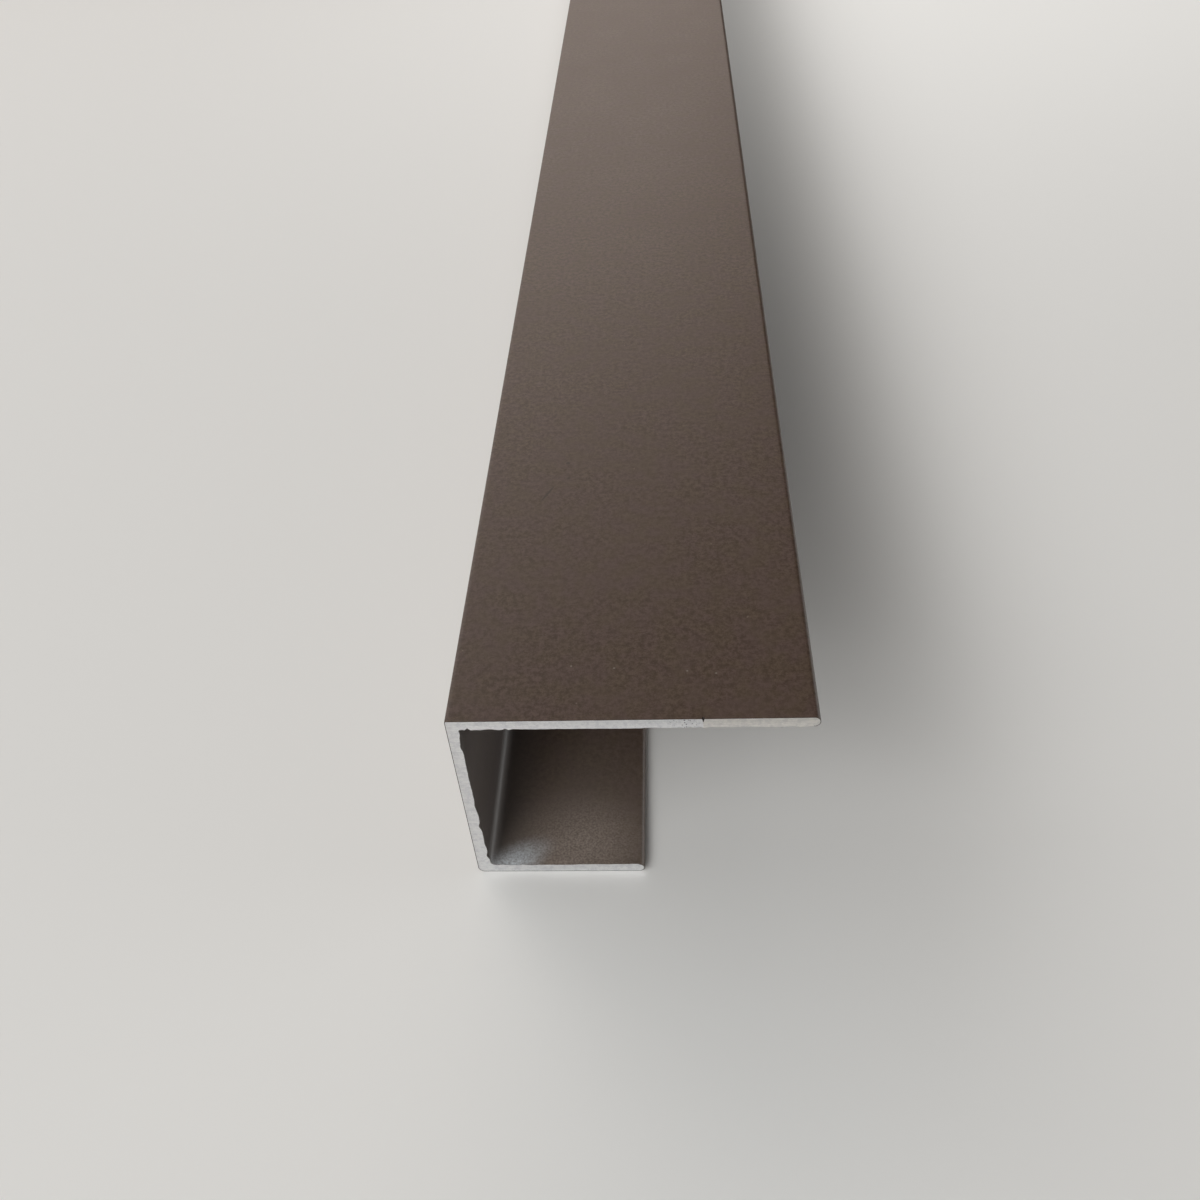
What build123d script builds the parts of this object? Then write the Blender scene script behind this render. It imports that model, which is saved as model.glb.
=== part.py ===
from build123d import *
import os

os.makedirs("parts", exist_ok=True)

# Driving dimensions of the bar, in millimetres
bar_length = 1000.0       # one bar of stock, cut square at both ends
section_height = 50.0     # from the underside of the foot to the top face
top_flange_width = 70.0   # from the web's outer face to the top flange's tip
foot_width = 36.0         # from the web's outer face to the foot's tip
wall = 2.5                # the same thickness all round the section

# Radii that the die gives the section
foot_corner_radius = 1.5  # outside, where the web turns into the foot
foot_root_radius = 2.0    # inside, in the same corner
sharp_radius = 0.3        # outside and inside, where the web meets the top flange
tip_land = 0.1            # flat left in the middle of each rounded flange tip

# Values worked out from these
tip_radius = (wall - tip_land) / 2
web_outer_x = -top_flange_width / 2

# The bar is one extrusion, an open channel. It stands on its foot, with the web on its
# left, the wide flange on top and its length along Y
with BuildPart() as channel_profile:
    with BuildSketch(Plane.XZ) as section:
        # Web and foot start at the outer bottom corner, the top flange at the outer top one
        with Locations((web_outer_x, 0)):
            Rectangle(wall, section_height, align=(Align.MIN, Align.MIN))
            Rectangle(foot_width, wall, align=(Align.MIN, Align.MIN))
        with Locations((web_outer_x, section_height)):
            Rectangle(top_flange_width, wall, align=(Align.MIN, Align.MAX))

        # Columns of corners from left to right: the web's outer face, its inner face,
        # then the tips of the two flanges
        outer_face, inner_face, *tips = section.vertices().group_by(Axis.X)
        foot_corner, top_corner = outer_face.sort_by(Axis.Y)
        foot_root, top_root = inner_face.sort_by(Axis.Y)

        fillet(foot_corner, foot_corner_radius)
        fillet(foot_root, foot_root_radius)
        fillet([top_corner, top_root], sharp_radius)
        for tip in tips:
            fillet(tip, tip_radius)
    extrude(amount=bar_length / 2, both=True)

channel_profile.part.label = "channel_profile"
export_step(channel_profile.part, "parts/channel_profile.step")
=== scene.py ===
from math import pi, radians

import bpy
from mathutils import Matrix, Vector


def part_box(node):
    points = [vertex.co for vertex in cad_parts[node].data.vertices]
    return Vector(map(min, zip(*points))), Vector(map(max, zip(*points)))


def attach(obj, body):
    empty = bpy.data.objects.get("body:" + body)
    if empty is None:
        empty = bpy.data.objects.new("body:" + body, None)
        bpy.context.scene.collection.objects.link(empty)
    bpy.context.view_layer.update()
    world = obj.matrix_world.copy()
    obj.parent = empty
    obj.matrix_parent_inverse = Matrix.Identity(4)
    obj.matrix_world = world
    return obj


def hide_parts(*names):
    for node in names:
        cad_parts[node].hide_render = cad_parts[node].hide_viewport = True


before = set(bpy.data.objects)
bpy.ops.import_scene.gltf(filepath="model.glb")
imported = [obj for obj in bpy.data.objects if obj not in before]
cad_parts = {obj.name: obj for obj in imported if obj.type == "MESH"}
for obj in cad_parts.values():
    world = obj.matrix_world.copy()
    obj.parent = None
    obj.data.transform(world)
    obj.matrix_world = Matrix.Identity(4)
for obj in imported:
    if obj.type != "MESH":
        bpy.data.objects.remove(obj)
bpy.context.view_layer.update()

# The camera. The photograph was taken by hand from just before the sawn end, looking down
# along the bar, a little to its left and tilted. Every place is given from the sawn end
near_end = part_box("channel_profile")[0].y
camera_across = 0.00869     # right of the bar's middle
camera_before = 0.13633     # in front of the sawn end
camera_height = 0.21052
camera_down = radians(43.469)
camera_left = radians(5.250)
camera_tilt = radians(-4.733)
photo_width = 1200          # pixels
photo_focal_length = 1132.4 # pixels
sensor_width = 36           # millimetres

bpy.ops.object.select_all(action="DESELECT")
bpy.ops.object.camera_add()
camera = bpy.context.object
camera.name = "camera"
turn = (Matrix.Rotation(camera_left, 4, "Z")
        @ Matrix.Rotation(pi / 2 - camera_down, 4, "X")
        @ Matrix.Rotation(camera_tilt, 4, "Z"))
move = Matrix.Translation((camera_across, near_end - camera_before, camera_height))
camera.matrix_world = move @ turn
camera.data.sensor_width = sensor_width
camera.data.lens = photo_focal_length / photo_width * sensor_width
camera.data.clip_start = 0.01
camera.data.clip_end = 50
bpy.context.scene.camera = camera

# The bar. One aluminium extrusion, powder-coated all over after it left the press and then
# cut to length with a circular saw. Both cut faces are bare metal. The coat's own thickness
# shows round them as a thin dark line, and the blade left a burr along the inner edges
low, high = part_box("channel_profile")
bar_length = high.y - low.y
wall = 0.0025
foot_width = 0.036
foot_corner_radius = 0.0015
foot_root_radius = 0.0020
sharp_radius = 0.0003
tip_radius = 0.0012
web_inner_x = low.x + wall
flange_bottom_z = high.z - wall
foot_top_z = low.z + wall
foot_tip_x = low.x + foot_width
outline_step = 0.0003       # length of the outline's edges on the flat stretches
coat_thickness = 0.00013
bead_rise = 0.00002         # how far the metal stands out along the edge of the cut
bead_front = 0.00006        # width of the bead's outer slope
bead_back = 0.00008         # width of its inner slope
near = 1e-5                 # how near a vertex is to a place that it is picked by


def pick(mesh, element, test):
    """Selects in edit mode the vertices, edges or faces that pass the test, and nothing else."""
    bpy.ops.mesh.select_all(action="DESELECT")
    bpy.ops.mesh.select_mode(type=element)
    bpy.ops.object.mode_set(mode="OBJECT")
    places = [vertex.co for vertex in mesh.vertices]
    elements = {"VERT": mesh.vertices, "EDGE": mesh.edges, "FACE": mesh.polygons}[element]
    for item in elements:
        corners = [item.index] if element == "VERT" else item.vertices
        item.select = not item.hide and test(*[places[i] for i in corners])
    bpy.ops.object.mode_set(mode="EDIT")


# Its outline starts as the web, and both flanges are drawn out of it
bpy.ops.object.select_all(action="DESELECT")
bpy.ops.mesh.primitive_plane_add(size=1, rotation=(pi / 2, 0, 0),
                                 location=(low.x + wall / 2, low.y + bead_rise, (low.z + high.z) / 2))
bar = bpy.context.object
bar.name = "bar"
bar.scale = (wall, high.z - low.z, 1)
bpy.ops.object.transform_apply(location=True, rotation=True, scale=True)
shape = bar.data
bpy.ops.object.mode_set(mode="EDIT")
for height in (foot_top_z, flange_bottom_z):
    bpy.ops.mesh.select_all(action="SELECT")
    bpy.ops.mesh.bisect(plane_co=(0, 0, height), plane_no=(0, 0, 1))
for bottom, top, tip_x in ((flange_bottom_z, high.z, high.x), (low.z, foot_top_z, foot_tip_x)):
    pick(shape, "VERT", lambda co: abs(co.x - web_inner_x) < near and bottom - near < co.z < top + near)
    bpy.ops.mesh.extrude_region_move(TRANSFORM_OT_translate={"value": (tip_x - web_inner_x, 0, 0)})
bpy.ops.mesh.select_all(action="SELECT")
bpy.ops.mesh.dissolve_limited(angle_limit=radians(1))
for x, z, radius, segments in (
        (low.x, low.z, foot_corner_radius, 8), (web_inner_x, foot_top_z, foot_root_radius, 12),
        (low.x, high.z, sharp_radius, 3), (web_inner_x, flange_bottom_z, sharp_radius, 3),
        (high.x, high.z, tip_radius, 8), (high.x, flange_bottom_z, tip_radius, 8),
        (foot_tip_x, low.z, tip_radius, 8), (foot_tip_x, foot_top_z, tip_radius, 8)):
    pick(shape, "VERT", lambda co: abs(co.x - x) < near and abs(co.z - z) < near)
    bpy.ops.mesh.bevel(offset=radius, offset_type="OFFSET", segments=segments, affect="VERTICES")

# Along the flat stretches the outline is divided finely, for the ragged edges of the saw cut
bpy.ops.object.mode_set(mode="OBJECT")
lengths = sorted({round((shape.vertices[a].co - shape.vertices[b].co).length, 6)
                  for a, b in (edge.vertices for edge in shape.edges)})
bpy.ops.object.mode_set(mode="EDIT")
for flat in [length for length in lengths if length > 2 * outline_step]:
    pick(shape, "EDGE", lambda a, b: abs((a - b).length - flat) < near)
    bpy.ops.mesh.subdivide(number_cuts=round(flat / outline_step) - 1)

# The outline is drawn out to the bar's length, and cut into short rings next to both ends
bpy.ops.mesh.select_all(action="SELECT")
bpy.ops.mesh.extrude_region_move(TRANSFORM_OT_translate={"value": (0, bar_length - 2 * bead_rise, 0)})
bpy.ops.mesh.select_all(action="SELECT")
bpy.ops.mesh.normals_make_consistent(inside=False)
for distance in (0.00018, 0.00035, 0.0006, 0.0011, 0.0018):
    for ring_y in (low.y + distance, high.y - distance):
        bpy.ops.mesh.select_all(action="SELECT")
        bpy.ops.mesh.bisect(plane_co=(0, ring_y, 0), plane_no=(0, 1, 0))

# The cut faces get the coat's edge, then the bead of metal that the blade pushed up
for name in ("powder_coat", "coat_edge", "sawn_metal"):
    shape.materials.append(bpy.data.materials.new(name))
coat, coat_edge, sawn_metal = shape.materials
pick(shape, "FACE", lambda *corners: max(co.y for co in corners) - min(co.y for co in corners) < near)
for width, depth, material_index in (
        (coat_thickness, 0, 1), (bead_front, bead_rise, 2), (bead_back, -bead_rise, 2)):
    bar.active_material_index = material_index
    bpy.ops.object.material_slot_assign()
    bpy.ops.mesh.inset(thickness=width, depth=depth)
bpy.ops.object.mode_set(mode="OBJECT")

# The burr. The inner edges of both cuts wander a little, most at the cut and not at all 1 mm
# behind it. The near cut's have single nicks and lumps too
strip_width = 0.0006        # the strip along an edge of the cut that its burr takes up
nick_core = 0.0004          # a nick moves the vertices this near to its middle all the way
nick_length = 0.0010        # how far into the bar the nicks reach
burr_noise = bpy.data.textures.new("burr_noise", "CLOUDS")
burr_noise.noise_scale = 0.0009
burr_noise.noise_depth = 2


def roughen(direction, strength, edge_start, along, first, last, covers_coat, nicks):
    """Makes one inner edge of both cuts ragged, from first to last along it. The burr may cover the
    coat's edge. Each nick is how far along it lies, how far it reaches and how far it moves."""
    across = Vector((direction == "X", 0, direction == "Z"))

    def from_cut(co):
        """How far a point lies behind the nearer cut."""
        return min(co.y - low.y, high.y - co.y)

    def beside(co):
        """Whether a point lies in the strip along the edge, on the cut or on the inner face."""
        return (abs((co - edge_start).dot(across)) < strip_width
                and first < (co - edge_start).dot(along) < last)

    bar.vertex_groups.active = bar.vertex_groups.new(name="burr")
    bpy.ops.object.mode_set(mode="EDIT")
    if covers_coat:
        pick(shape, "FACE", lambda *corners: all(
            beside(co) and abs((co - edge_start).dot(across)) < coat_thickness + near
            and from_cut(co) < bead_rise + near for co in corners))
        bar.active_material_index = 2
        bpy.ops.object.material_slot_assign()
    # It wanders fully at the cut, and ever less behind it
    for reach, weight in ((0.0007, 0.15), (0.0004, 0.4), (0.0002, 0.75), (0.0001, 1)):
        pick(shape, "VERT", lambda co: from_cut(co) < reach and beside(co))
        bpy.context.scene.tool_settings.vertex_group_weight = weight
        bpy.ops.object.vertex_group_assign()
    bpy.ops.object.mode_set(mode="OBJECT")
    wander = bar.modifiers.new("wander", "DISPLACE")
    wander.texture = burr_noise
    wander.texture_coords = "LOCAL"
    wander.direction = direction
    wander.strength = strength
    wander.vertex_group = "burr"
    bpy.ops.object.modifier_apply(modifier="wander")
    bar.vertex_groups.clear()
    bpy.ops.object.mode_set(mode="EDIT")
    pick(shape, "VERT", lambda co: co.y - low.y < nick_length and beside(co))
    bpy.ops.mesh.hide(unselected=True)
    for distance, reach, amount in nicks:
        middle = edge_start + along * distance
        pick(shape, "VERT", lambda co: (co - middle).length < nick_core)
        bpy.ops.transform.translate(value=across * amount, use_proportional_edit=True,
                                    proportional_edit_falloff="SMOOTH", proportional_size=reach)
    bpy.ops.mesh.reveal()
    bpy.ops.object.mode_set(mode="OBJECT")


# Under the flange, from the web to the tip
roughen("Z", strength=0.00020, edge_start=Vector((web_inner_x, low.y, flange_bottom_z)),
        along=Vector((1, 0, 0)), first=sharp_radius - near, last=high.x - web_inner_x - tip_radius,
        covers_coat=True, nicks=(
            (0.0005, 0.0005, 0.00012), (0.0014, 0.0006, 0.00056), (0.0032, 0.0012, 0.00006),
            (0.0053, 0.0018, 0.00024), (0.0089, 0.0005, 0.00026), (0.0094, 0.0004, -0.00018),
            (0.0105, 0.0030, 0.00018), (0.0200, 0.0120, 0.00010), (0.0310, 0.0025, -0.00008),
            (0.0360, 0.0020, 0.00010), (0.0401, 0.0007, 0.00010), (0.0413, 0.0007, 0.00014),
            (0.0435, 0.0006, 0.00034), (0.0452, 0.0005, 0.00022), (0.0459, 0.0005, -0.00016),
            (0.0475, 0.0008, 0.00016), (0.0520, 0.0080, 0.00004), (0.0535, 0.0005, 0.00014),
            (0.0590, 0.0016, -0.00016), (0.0602, 0.0006, -0.00028), (0.0600, 0.0080, -0.00004),
            (0.0617, 0.0016, 0.00008), (0.0635, 0.0010, -0.00026), (0.0644, 0.0007, -0.00020)))
# Up the web's inner face
roughen("X", strength=0.00016, edge_start=Vector((web_inner_x, low.y, foot_top_z)),
        along=Vector((0, 0, 1)), first=0.0008, last=flange_bottom_z - foot_top_z - sharp_radius,
        covers_coat=False, nicks=(
            (0.0411, 0.0028, -0.00020), (0.0399, 0.0010, -0.00020), (0.0440, 0.0016, 0.00010),
            (0.0305, 0.0080, -0.00008), (0.0212, 0.0014, -0.00016), (0.0170, 0.0030, 0.00018),
            (0.0141, 0.0011, -0.00026), (0.0110, 0.0040, 0.00024), (0.0056, 0.0030, 0.00034),
            (0.0035, 0.0010, -0.00008), (0.0020, 0.0018, 0.00046)))
# On the foot, from the root to the tip
roughen("Z", strength=0.00014, edge_start=Vector((web_inner_x, low.y, foot_top_z)),
        along=Vector((1, 0, 0)), first=foot_root_radius, last=foot_width - wall - tip_radius,
        covers_coat=True, nicks=(
            (0.0042, 0.0012, -0.00014), (0.0051, 0.0008, -0.00016), (0.0064, 0.0008, -0.00022),
            (0.0083, 0.0012, -0.00014), (0.0098, 0.0012, -0.00012), (0.0125, 0.0050, -0.00008),
            (0.0170, 0.0030, -0.00012), (0.0225, 0.0040, 0.00004), (0.0290, 0.0030, 0.00006),
            (0.0314, 0.0010, 0.00010)))

# The notch in the top edge, where the saw stopped and was set down again for the rest of the cut.
# A cube that stands on its edge, 1 m wide and high before it is scaled, cuts it as a V
notch_x = low.x + 0.0484    # from the web's outer face
notch_width = 0.0005
notch_depth = 0.0011
bpy.ops.object.select_all(action="DESELECT")
bpy.ops.mesh.primitive_cube_add(size=1 / 2 ** 0.5, rotation=(0, pi / 4, 0),
                                location=(notch_x, low.y, high.z))
cutter = bpy.context.object
bpy.ops.object.transform_apply(location=False, rotation=True, scale=False)
cutter.scale = (notch_width, notch_depth, 2 * notch_depth)
cutter.data.materials.append(coat)
cutter.data.materials.append(coat_edge)
for face in cutter.data.polygons:
    face.material_index = 1
bpy.ops.object.select_all(action="DESELECT")
bar.select_set(True)
bpy.context.view_layer.objects.active = bar
notch = bar.modifiers.new("notch", "BOOLEAN")
notch.object = cutter
bpy.ops.object.modifier_apply(modifier="notch")
bpy.data.objects.remove(cutter)
bpy.ops.object.shade_smooth_by_angle(angle=radians(30))


def wire(tree, kind, inputs, **settings):
    """Adds a node with its settings and its inputs, as values or links, and returns its first output."""
    made = tree.nodes.new("ShaderNode" + kind)
    for name, value in settings.items():
        setattr(made, name, value)
    for name, value in inputs.items():
        if isinstance(value, bpy.types.NodeSocket):
            tree.links.new(value, made.inputs[name])
        else:
            made.inputs[name].default_value = value
    return made.outputs[0]


def open_material(material):
    """Returns a material's nodes, its shader and the place on the bar, in metres."""
    material.use_nodes = True
    tree = material.node_tree
    return tree, tree.nodes["Principled BSDF"], wire(tree, "TexCoord", {}).node.outputs["Object"]


def fade(tree, value, full, none):
    """Turns a value into a mask that is 1 at full and 0 at none."""
    return wire(tree, "MapRange", {"Value": value, "From Min": none, "From Max": full},
                interpolation_type="SMOOTHSTEP")


def blend(tree, mask, colour_1, colour_2):
    """Goes from the first colour to the second where the mask is 1."""
    return wire(tree, "MixRGB", {"Fac": mask, "Color1": colour_1, "Color2": colour_2})


def tint(tree, mask, colour_1, colour_2):
    """Multiplies the first colour by the second where the mask is 1."""
    return wire(tree, "MixRGB", {"Fac": mask, "Color1": colour_1, "Color2": colour_2},
                blend_type="MULTIPLY")


def product(tree, first, second):
    """Multiplies two masks."""
    return wire(tree, "Math", {0: first, 1: second}, operation="MULTIPLY")


def specks(tree, place, scale, radius, share):
    """A mask of small round spots, in the given share of the cells of a grid of that scale."""
    cells = wire(tree, "TexVoronoi", {"Vector": place, "Scale": scale})
    chance = wire(tree, "SeparateColor", {"Color": cells.node.outputs["Color"]})
    return product(tree, fade(tree, cells, full=radius * scale / 2, none=radius * scale),
                   fade(tree, chance, full=1 - share, none=1 - share - 0.01))


def spot(tree, place, centre, length, width, angle=0, soft=0):
    """A mask of one flat oval mark, full up to the given share of its size and gone at its edge."""
    seen = wire(tree, "Mapping", {"Vector": place, "Location": centre, "Rotation": (0, 0, angle),
                                  "Scale": (length / 2, width / 2, wall)}, vector_type="TEXTURE")
    distance = wire(tree, "VectorMath", {0: seen}, operation="LENGTH").node.outputs["Value"]
    return fade(tree, distance, full=soft, none=1)


# The powder coat: a warm grey-brown, finely grained, a little cloudy, with light and dark specks
tree, shader, place = open_material(coat)
grain = wire(tree, "TexNoise", {"Vector": place, "Scale": 800, "Detail": 3, "Roughness": 0.9})
peel = wire(tree, "TexNoise", {"Vector": place, "Scale": 420, "Detail": 2})
cloud = wire(tree, "TexNoise", {"Vector": place, "Scale": 70, "Detail": 4, "Roughness": 0.65})
hue = wire(tree, "TexNoise", {"Vector": place, "Scale": 200, "Detail": 2})
grain_dark, grain_light = (0.045, 0.0255, 0.0153, 1), (0.097, 0.064, 0.046, 1)
cloud_colour = (0.080, 0.052, 0.038, 1)
hue_yellow, hue_red = (0.995, 1.01, 0.93, 1), (1.015, 0.985, 1.08, 1)
speck_light, speck_dark = (0.140, 0.104, 0.081, 1), (0.036, 0.023, 0.017, 1)
colour = blend(tree, fade(tree, grain, full=0.66, none=0.34), grain_dark, grain_light)
clouded = product(tree, fade(tree, cloud, full=0.65, none=0.40), 0.5)
colour = blend(tree, clouded, colour, cloud_colour)
hue = blend(tree, fade(tree, hue, full=0.65, none=0.35), hue_yellow, hue_red)
colour = tint(tree, 1, colour, hue)
light_specks = specks(tree, place, scale=300, radius=0.00022, share=0.16)
colour = blend(tree, light_specks, colour, speck_light)
dark_specks = specks(tree, place, scale=380, radius=0.00022, share=0.18)
colour = blend(tree, dark_specks, colour, speck_dark)

# Marks on the top face: one like a hair, with two blemishes, and four pale dots near the cut
blemish_colour = (0.040, 0.027, 0.020, 1)
dot_colour = (0.18, 0.15, 0.125, 1)
for x, behind_cut, length, width, angle in (
        (-0.0201, 0.0680, 0.0075, 0.0006, 1.12), (-0.0160, 0.0795, 0.0013, 0.0009, 0),
        (-0.0155, 0.0737, 0.0010, 0.0008, 0)):
    mark = spot(tree, place, (x, low.y + behind_cut, high.z), length, width, angle, soft=0.6)
    colour = blend(tree, mark, colour, blemish_colour)
for x, behind_cut in ((-0.0118, 0.0138), (-0.0034, 0.0131), (0.0107, 0.0121), (0.0162, 0.0114)):
    dot = spot(tree, place, (x, low.y + behind_cut, high.z), length=0.0006, width=0.0006, soft=0.3)
    colour = blend(tree, dot, colour, dot_colour)

# Next to the near cut the inside of the channel is painted lighter. First a thin grey haze on the web
# and beside it, but not on the web's outer face or the top of the flange: painted fill light, not dust.
# Then a pale line in the root: a painted highlight
painted_fill_width = 0.013
painted_fill_length = 0.16
painted_fill_colour = (0.083, 0.080, 0.079, 1)
root_highlight_colour = (0.21, 0.205, 0.20, 1)
axes = wire(tree, "SeparateXYZ", {"Vector": place}).node.outputs
# The grey haze is painted fill light: it lightens the inside of the channel
painted_fill = product(tree, fade(tree, axes["X"], full=web_inner_x, none=web_inner_x + painted_fill_width),
               fade(tree, axes["X"], full=web_inner_x - 0.0002, none=web_inner_x - 0.0006))
painted_fill = product(tree, painted_fill, fade(tree, axes["Z"], full=flange_bottom_z, none=flange_bottom_z + 0.0005))
painted_fill = product(tree, painted_fill, fade(tree, axes["Y"], full=low.y, none=low.y + painted_fill_length))
colour = blend(tree, product(tree, painted_fill, 0.6), colour, painted_fill_colour)
# The pale line in the root is a painted highlight along the fillet
root_highlight = spot(tree, place, (web_inner_x + 0.0007, low.y, foot_top_z + 0.0007),
                 length=0.005, width=0.40)
colour = blend(tree, product(tree, root_highlight, 0.6), colour, root_highlight_colour)

# Then painted light on the foot: a lighter film, grainy near the cut, and a painted bluish sheen, palest
# next to the web
foot_light_colour = (0.29, 0.245, 0.21, 1)
grainy_foot_light_colour = (0.33, 0.275, 0.235, 1)
painted_sheen_colour = (0.60, 0.64, 0.67, 1)
foot_grain = wire(tree, "TexNoise", {"Vector": place, "Scale": 2300, "Detail": 2})
# The film is painted light where light from the front falls on the foot, grainy like dust
foot_light = spot(tree, place, (low.x + 0.020, low.y + 0.004, foot_top_z), length=0.076, width=0.120)
foot_light = product(tree, foot_light, 0.40)
colour = blend(tree, foot_light, colour, foot_light_colour)
foot_light = spot(tree, place, (low.x + 0.022, low.y + 0.005, foot_top_z), length=0.038, width=0.036)
foot_light = product(tree, foot_light, fade(tree, foot_grain, full=0.80, none=0.20))
colour = blend(tree, foot_light, colour, grainy_foot_light_colour)
# The pale bluish patch next to the web is a painted sheen
painted_sheen = spot(tree, place, (low.x + 0.0080, low.y + 0.001, foot_top_z),
             length=0.022, width=0.011, angle=0.55)
painted_sheen = product(tree, painted_sheen, fade(tree, foot_grain, full=0.90, none=-0.10))
colour = blend(tree, painted_sheen, colour, painted_sheen_colour)
tree.links.new(colour, shader.inputs["Base Color"])

# The coat is satin, and its surface has the grain and, wider, a slight orange peel
shader.inputs["Specular IOR Level"].default_value = 0.45
satin = wire(tree, "MapRange", {"Value": cloud, "From Min": 0.3, "From Max": 0.7,
                                "To Min": 0.43, "To Max": 0.47})
tree.links.new(satin, shader.inputs["Roughness"])
relief = wire(tree, "Bump", {"Height": peel, "Strength": 0.5, "Distance": 0.00004})
relief = wire(tree, "Bump", {"Height": grain, "Strength": 0.5, "Distance": 0.00001, "Normal": relief})
tree.links.new(relief, shader.inputs["Normal"])

# The coat where the saw went through it
edge_dark, edge_light = (0.022, 0.016, 0.013, 1), (0.046, 0.034, 0.028, 1)
tree, shader, place = open_material(coat_edge)
grain = wire(tree, "TexNoise", {"Vector": place, "Scale": 3500, "Detail": 2})
tree.links.new(blend(tree, grain, edge_dark, edge_light), shader.inputs["Base Color"])
shader.inputs["Roughness"].default_value = 0.7

# The sawn metal. The teeth left fine lines, which are arcs about the middle of the saw blade. The part
# right of the notch was cut last and is painted a little darker and warmer, as painted shade, and there
# are pits just left of the notch
blade_height = 0.30         # of the saw blade's middle above the floor
no_length = 1e9             # the place along the bar is divided by it, so it doesn't count
line_dark, line_light = (0.62, 0.62, 0.63, 1), (0.90, 0.90, 0.90, 1)
mottle_colour = (0.66, 0.66, 0.68, 1)
right_of_notch_shade_tint = (0.93, 0.90, 0.85, 1)
pit_colour = (0.10, 0.09, 0.10, 1)
fleck_colour = (0.35, 0.33, 0.33, 1)
tree, shader, place = open_material(sawn_metal)
on_blade = wire(tree, "Mapping", {"Vector": place, "Location": (0, 0, blade_height),
                                  "Scale": (1, no_length, 1)}, vector_type="TEXTURE")
radius = wire(tree, "VectorMath", {0: on_blade}, operation="LENGTH").node.outputs["Value"]
lines = wire(tree, "TexNoise", {"W": radius, "Scale": 9000, "Detail": 2}, noise_dimensions="1D")
mottle = wire(tree, "TexNoise", {"Vector": place, "Scale": 700, "Detail": 4, "Roughness": 0.7})
colour = blend(tree, fade(tree, lines, full=0.7, none=0.3), line_dark, line_light)
colour = blend(tree, fade(tree, mottle, full=0.62, none=0.42), colour, mottle_colour)
across = wire(tree, "SeparateXYZ", {"Vector": place})
# Right of the notch the metal is painted darker and warmer: painted shade
right_of_notch_shade = fade(tree, across, full=notch_x + 0.0001, none=notch_x - 0.0001)
colour = tint(tree, right_of_notch_shade, colour, right_of_notch_shade_tint)
pitted = spot(tree, place, (notch_x - 0.0036, low.y, high.z - wall / 2),
              length=0.0075, width=0.01, soft=0.2)
pits = product(tree, pitted, specks(tree, place, scale=2600, radius=0.00016, share=0.45))
colour = blend(tree, pits, colour, pit_colour)
flecks = specks(tree, place, scale=900, radius=0.00010, share=0.12)
colour = blend(tree, flecks, colour, fleck_colour)
tree.links.new(colour, shader.inputs["Base Color"])
shader.inputs["Metallic"].default_value = 1
dull = wire(tree, "MapRange", {"Value": mottle, "From Min": 0.3, "From Max": 0.7,
                               "To Min": 0.36, "To Max": 0.50})
tree.links.new(dull, shader.inputs["Roughness"])
relief = wire(tree, "Bump", {"Height": lines, "Strength": 0.6, "Distance": 0.00001})
tree.links.new(relief, shader.inputs["Normal"])

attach(bar, "root")
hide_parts("channel_profile")

# The floor. It is plain, pale and matt, and three times as long as the bar. It isn't part of
# the object
floor_size = 3.0
floor_colour = (0.83, 0.825, 0.80, 1)
bpy.ops.object.select_all(action="DESELECT")
bpy.ops.mesh.primitive_plane_add(size=floor_size, location=(0, 0, 0))
floor = bpy.context.object
floor.name = "floor"
paint = bpy.data.materials.new("pale_floor")
paint.use_nodes = True
shader = paint.node_tree.nodes["Principled BSDF"]
shader.inputs["Base Color"].default_value = floor_colour
shader.inputs["Roughness"].default_value = 0.8
shader.inputs["Specular IOR Level"].default_value = 0.2
floor.data.materials.append(paint)


# The light. Six wide soft lamps stand round the sawn end and light the bar from all sides, the
# one at the back a little warm. A soft spot lights the floor to the right of the bar's far part
def lamp(name, kind, place, watts, aim, **settings):
    """One lamp, turned to what it lights."""
    bpy.ops.object.light_add(type=kind, location=place)
    made = bpy.context.object
    made.name = name
    made.data.energy = watts
    made.rotation_euler = (Vector(aim) - made.location).to_track_quat("-Z", "Y").to_euler()
    for setting, value in settings.items():
        setattr(made.data, setting, value)


white = (1, 1, 1)
warm = (1, 0.88, 0.80)
for name, x, from_end, height, width, depth, watts, colour in (
        ("key", -1.65, -1.70, 1.88, 2.6, 1.4, 44, white),
        ("front", -0.90, -2.60, 1.20, 1.6, 1.2, 34, white),
        ("front_low", 0, -2.85, 0.80, 1.6, 1.0, 11, white),
        ("left", -2.05, 1.18, 1.88, 3.4, 1.4, 29, white),
        ("back", -1.05, 2.70, 1.30, 3.2, 1.5, 28, warm),
        ("right", 2.72, 0.80, 0.30, 2.4, 0.6, 24, white)):
    lamp(name, "AREA", (x, near_end + from_end, height), watts, (0, near_end, 0),
         shape="RECTANGLE", size=width, size_y=depth, color=colour)
lamp("far", "SPOT", (0.30, near_end + 0.80, 1.20), 19, (0.20, near_end + 0.70, 0),
     spot_size=radians(52), spot_blend=1, shadow_soft_size=0.25)

# The room gives a little even light, and the camera alone sees it as pale
room_light = 0.034
room_seen = 0.66
world = bpy.data.worlds.new("room")
world.use_nodes = True
tree = world.node_tree
camera_ray = wire(tree, "LightPath", {})
room = wire(tree, "MapRange", {"Value": camera_ray, "To Min": room_light, "To Max": room_seen})
tree.links.new(room, tree.nodes["Background"].inputs["Strength"])
tree.nodes["Background"].inputs["Color"].default_value = (1, 1, 1, 1)
bpy.context.scene.world = world
bpy.context.scene.view_settings.view_transform = "Standard"
